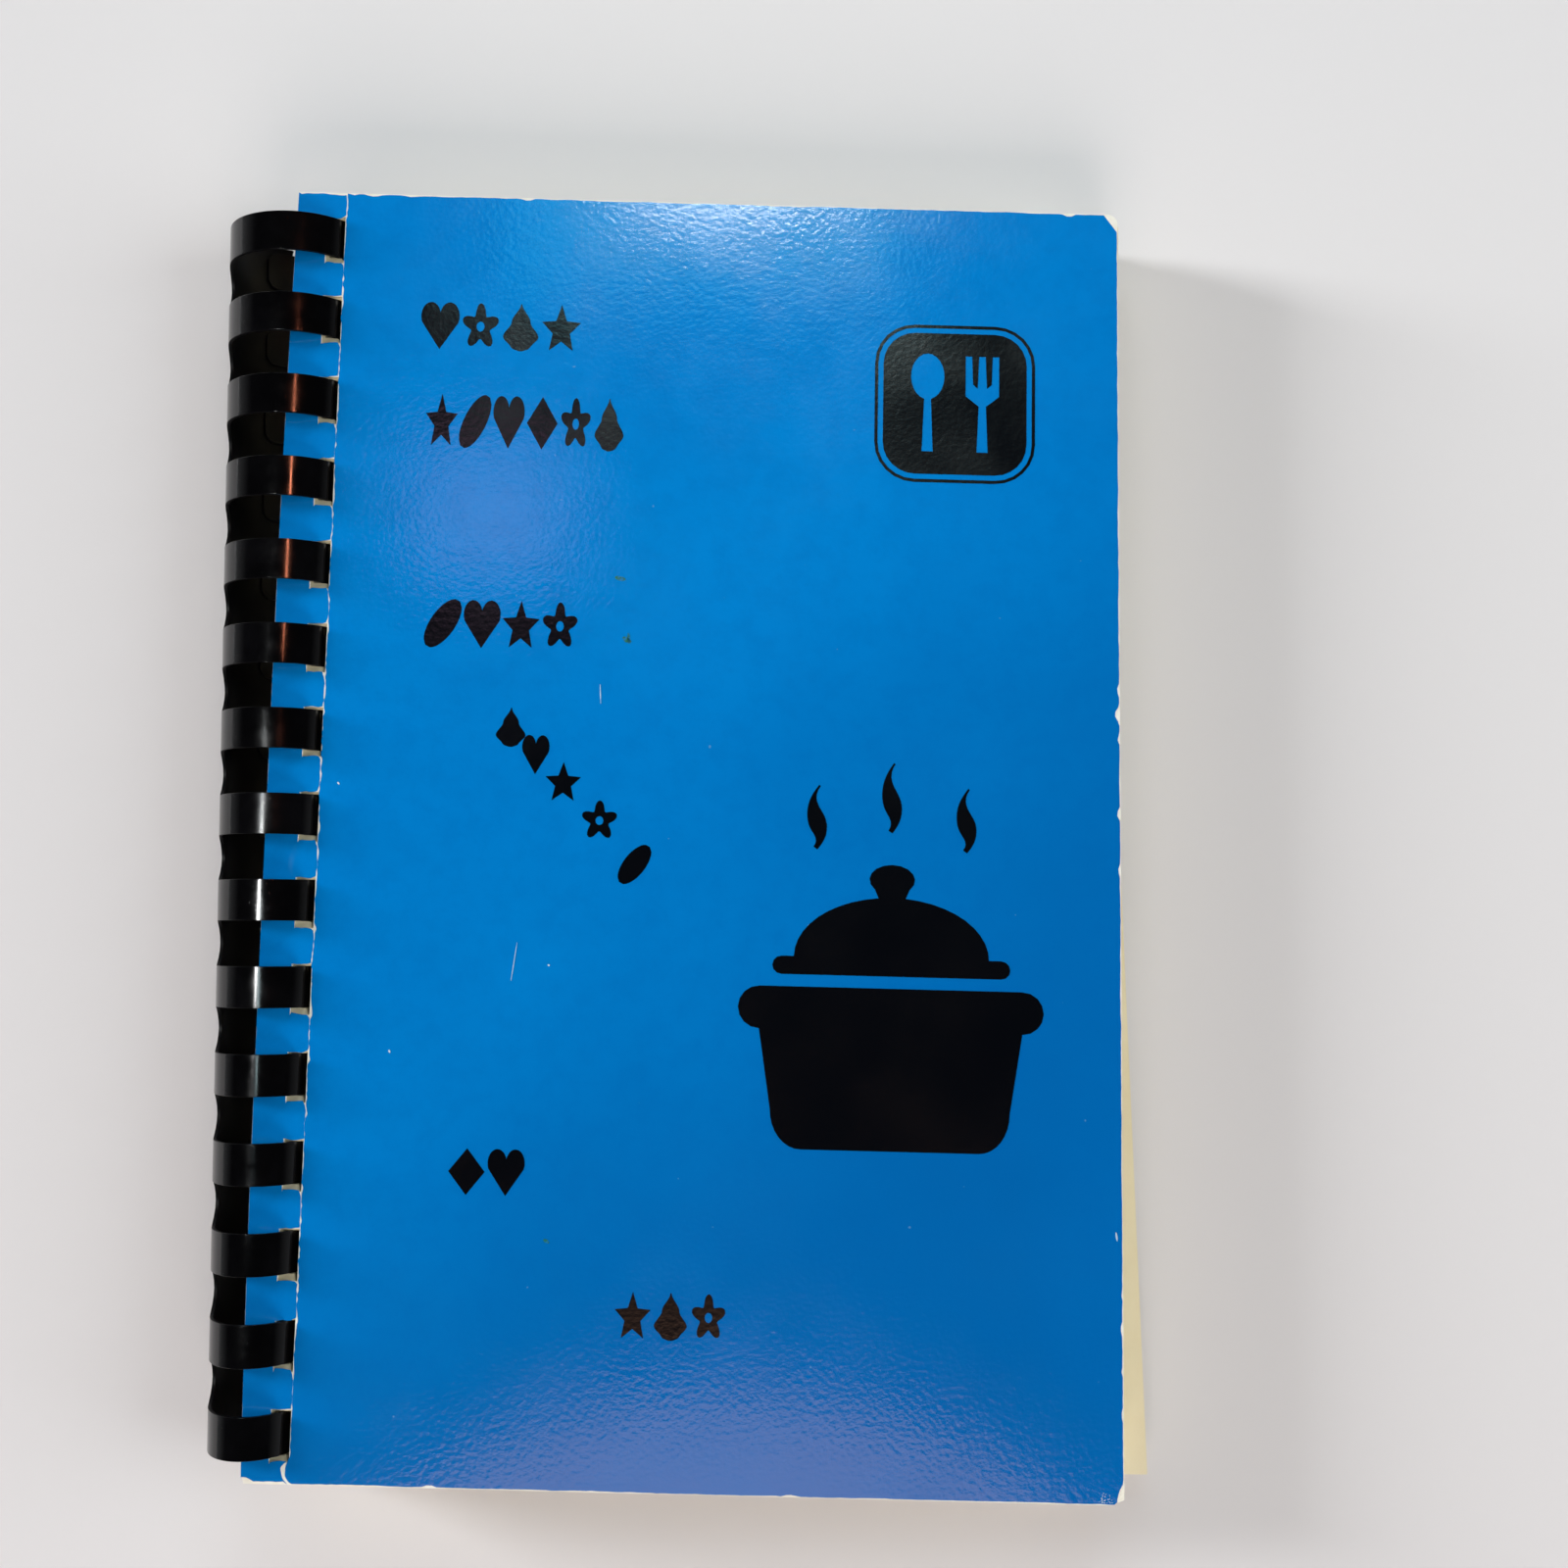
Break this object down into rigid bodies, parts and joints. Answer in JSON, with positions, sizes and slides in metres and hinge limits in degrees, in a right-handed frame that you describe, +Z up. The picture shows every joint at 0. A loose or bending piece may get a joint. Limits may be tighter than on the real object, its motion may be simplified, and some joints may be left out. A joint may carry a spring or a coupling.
{
  "type": "comb-bound book",
  "caption": "Punched card covers and leaves held on a moulded plastic comb, hinged so that the book opens flat.",
  "frame": {"origin": "on the resting surface, under the middle of the shut book's bounding box", "axes": "+X from the comb to the fore-edge, +Y along the comb from tail to head, +Z up through the front cover"},
  "size_m": [0.1532, 0.2176, 0.02],
  "materials": {
    "comb_plastic": "moulded, glossy black",
    "cover_card": "printed blue card with a pebbled gloss film",
    "leaf_paper": "uncoated cream paper"
  },
  "bodies": {
    "back_cover": {"back_cover": "cover_card"},
    "front_cover": {"front_cover": "cover_card"},
    "leaf_pack_01": {"leaf_pack_01": "leaf_paper"},
    "leaf_pack_02": {"leaf_pack_02": "leaf_paper"},
    "leaf_pack_03": {"leaf_pack_03": "leaf_paper"},
    "leaf_pack_04": {"leaf_pack_04": "leaf_paper"},
    "leaf_pack_05": {"leaf_pack_05": "leaf_paper"},
    "leaf_pack_06": {"leaf_pack_06": "leaf_paper"},
    "leaf_pack_07": {"leaf_pack_07": "leaf_paper"},
    "leaf_pack_08": {"leaf_pack_08": "leaf_paper"},
    "leaf_pack_09": {"leaf_pack_09": "leaf_paper"},
    "leaf_pack_10": {"leaf_pack_10": "leaf_paper"},
    "leaf_pack_11": {"leaf_pack_11": "leaf_paper"},
    "leaf_pack_12": {"leaf_pack_12": "leaf_paper"},
    "leaf_pack_13": {"leaf_pack_13": "leaf_paper"},
    "leaf_pack_14": {"leaf_pack_14": "leaf_paper"},
    "leaf_pack_15": {"leaf_pack_15": "leaf_paper"},
    "leaf_pack_16": {"leaf_pack_16": "leaf_paper"},
    "leaf_pack_17": {"leaf_pack_17": "leaf_paper"},
    "leaf_pack_18": {"leaf_pack_18": "leaf_paper"},
    "leaf_pack_19": {"leaf_pack_19": "leaf_paper"},
    "leaf_pack_20": {"leaf_pack_20": "leaf_paper"},
    "comb": {"comb": "comb_plastic"}
  },
  "joints": [
    {"name": "front_cover_open", "type": "hinge", "parent": "back_cover", "child": "front_cover", "pos_m": [-0.06662, 0, 0.01], "axis": [0, -1, 0], "range_deg": [0, 182.4]},
    {"name": "leaf_pack_01_turn", "type": "hinge", "parent": "back_cover", "child": "leaf_pack_01", "pos_m": [-0.06662, 0, 0.01], "axis": [0, -1, 0], "range_deg": [0, 173.82]},
    {"name": "leaf_pack_02_turn", "type": "hinge", "parent": "back_cover", "child": "leaf_pack_02", "pos_m": [-0.06662, 0, 0.01], "axis": [0, -1, 0], "range_deg": [0, 165.14]},
    {"name": "leaf_pack_03_turn", "type": "hinge", "parent": "back_cover", "child": "leaf_pack_03", "pos_m": [-0.06662, 0, 0.01], "axis": [0, -1, 0], "range_deg": [0, 156.44]},
    {"name": "leaf_pack_04_turn", "type": "hinge", "parent": "back_cover", "child": "leaf_pack_04", "pos_m": [-0.06662, 0, 0.01], "axis": [0, -1, 0], "range_deg": [0, 147.75]},
    {"name": "leaf_pack_05_turn", "type": "hinge", "parent": "back_cover", "child": "leaf_pack_05", "pos_m": [-0.06662, 0, 0.01], "axis": [0, -1, 0], "range_deg": [0, 139.07]},
    {"name": "leaf_pack_06_turn", "type": "hinge", "parent": "back_cover", "child": "leaf_pack_06", "pos_m": [-0.06662, 0, 0.01], "axis": [0, -1, 0], "range_deg": [0, 130.39]},
    {"name": "leaf_pack_07_turn", "type": "hinge", "parent": "back_cover", "child": "leaf_pack_07", "pos_m": [-0.06662, 0, 0.01], "axis": [0, -1, 0], "range_deg": [0, 121.71]},
    {"name": "leaf_pack_08_turn", "type": "hinge", "parent": "back_cover", "child": "leaf_pack_08", "pos_m": [-0.06662, 0, 0.01], "axis": [0, -1, 0], "range_deg": [0, 113.01]},
    {"name": "leaf_pack_09_turn", "type": "hinge", "parent": "back_cover", "child": "leaf_pack_09", "pos_m": [-0.06662, 0, 0.01], "axis": [0, -1, 0], "range_deg": [0, 104.32]},
    {"name": "leaf_pack_10_turn", "type": "hinge", "parent": "back_cover", "child": "leaf_pack_10", "pos_m": [-0.06662, 0, 0.01], "axis": [0, -1, 0], "range_deg": [0, 95.64]},
    {"name": "leaf_pack_11_turn", "type": "hinge", "parent": "back_cover", "child": "leaf_pack_11", "pos_m": [-0.06662, 0, 0.01], "axis": [0, -1, 0], "range_deg": [0, 86.96]},
    {"name": "leaf_pack_12_turn", "type": "hinge", "parent": "back_cover", "child": "leaf_pack_12", "pos_m": [-0.06662, 0, 0.01], "axis": [0, -1, 0], "range_deg": [0, 78.28]},
    {"name": "leaf_pack_13_turn", "type": "hinge", "parent": "back_cover", "child": "leaf_pack_13", "pos_m": [-0.06662, 0, 0.01], "axis": [0, -1, 0], "range_deg": [0, 69.59]},
    {"name": "leaf_pack_14_turn", "type": "hinge", "parent": "back_cover", "child": "leaf_pack_14", "pos_m": [-0.06662, 0, 0.01], "axis": [0, -1, 0], "range_deg": [0, 60.89]},
    {"name": "leaf_pack_15_turn", "type": "hinge", "parent": "back_cover", "child": "leaf_pack_15", "pos_m": [-0.06662, 0, 0.01], "axis": [0, -1, 0], "range_deg": [0, 52.21]},
    {"name": "leaf_pack_16_turn", "type": "hinge", "parent": "back_cover", "child": "leaf_pack_16", "pos_m": [-0.06662, 0, 0.01], "axis": [0, -1, 0], "range_deg": [0, 43.53]},
    {"name": "leaf_pack_17_turn", "type": "hinge", "parent": "back_cover", "child": "leaf_pack_17", "pos_m": [-0.06662, 0, 0.01], "axis": [0, -1, 0], "range_deg": [0, 34.85]},
    {"name": "leaf_pack_18_turn", "type": "hinge", "parent": "back_cover", "child": "leaf_pack_18", "pos_m": [-0.06662, 0, 0.01], "axis": [0, -1, 0], "range_deg": [0, 26.16]},
    {"name": "leaf_pack_19_turn", "type": "hinge", "parent": "back_cover", "child": "leaf_pack_19", "pos_m": [-0.06662, 0, 0.01], "axis": [0, -1, 0], "range_deg": [0, 17.46]},
    {"name": "leaf_pack_20_turn", "type": "hinge", "parent": "back_cover", "child": "leaf_pack_20", "pos_m": [-0.06662, 0, 0.01], "axis": [0, -1, 0], "range_deg": [0, 8.78]},
    {"name": "comb_roll", "type": "hinge", "parent": "back_cover", "child": "comb", "pos_m": [-0.06662, 0, 0.01], "axis": [0, -1, 0], "range_deg": [0, 61.1]}
  ],
  "couplings": [
    {"joint": "leaf_pack_01_turn", "follows": "front_cover_open", "ratio": 0.9524},
    {"joint": "leaf_pack_02_turn", "follows": "front_cover_open", "ratio": 0.9048},
    {"joint": "leaf_pack_03_turn", "follows": "front_cover_open", "ratio": 0.8571},
    {"joint": "leaf_pack_04_turn", "follows": "front_cover_open", "ratio": 0.8095},
    {"joint": "leaf_pack_05_turn", "follows": "front_cover_open", "ratio": 0.7619},
    {"joint": "leaf_pack_06_turn", "follows": "front_cover_open", "ratio": 0.7143},
    {"joint": "leaf_pack_07_turn", "follows": "front_cover_open", "ratio": 0.6667},
    {"joint": "leaf_pack_08_turn", "follows": "front_cover_open", "ratio": 0.619},
    {"joint": "leaf_pack_09_turn", "follows": "front_cover_open", "ratio": 0.5714},
    {"joint": "leaf_pack_10_turn", "follows": "front_cover_open", "ratio": 0.5238},
    {"joint": "leaf_pack_11_turn", "follows": "front_cover_open", "ratio": 0.4762},
    {"joint": "leaf_pack_12_turn", "follows": "front_cover_open", "ratio": 0.4286},
    {"joint": "leaf_pack_13_turn", "follows": "front_cover_open", "ratio": 0.381},
    {"joint": "leaf_pack_14_turn", "follows": "front_cover_open", "ratio": 0.3333},
    {"joint": "leaf_pack_15_turn", "follows": "front_cover_open", "ratio": 0.2857},
    {"joint": "leaf_pack_16_turn", "follows": "front_cover_open", "ratio": 0.2381},
    {"joint": "leaf_pack_17_turn", "follows": "front_cover_open", "ratio": 0.1905},
    {"joint": "leaf_pack_18_turn", "follows": "front_cover_open", "ratio": 0.1429},
    {"joint": "leaf_pack_19_turn", "follows": "front_cover_open", "ratio": 0.0952},
    {"joint": "leaf_pack_20_turn", "follows": "front_cover_open", "ratio": 0.0476},
    {"joint": "comb_roll", "follows": "front_cover_open", "ratio": 0.3344}
  ]
}
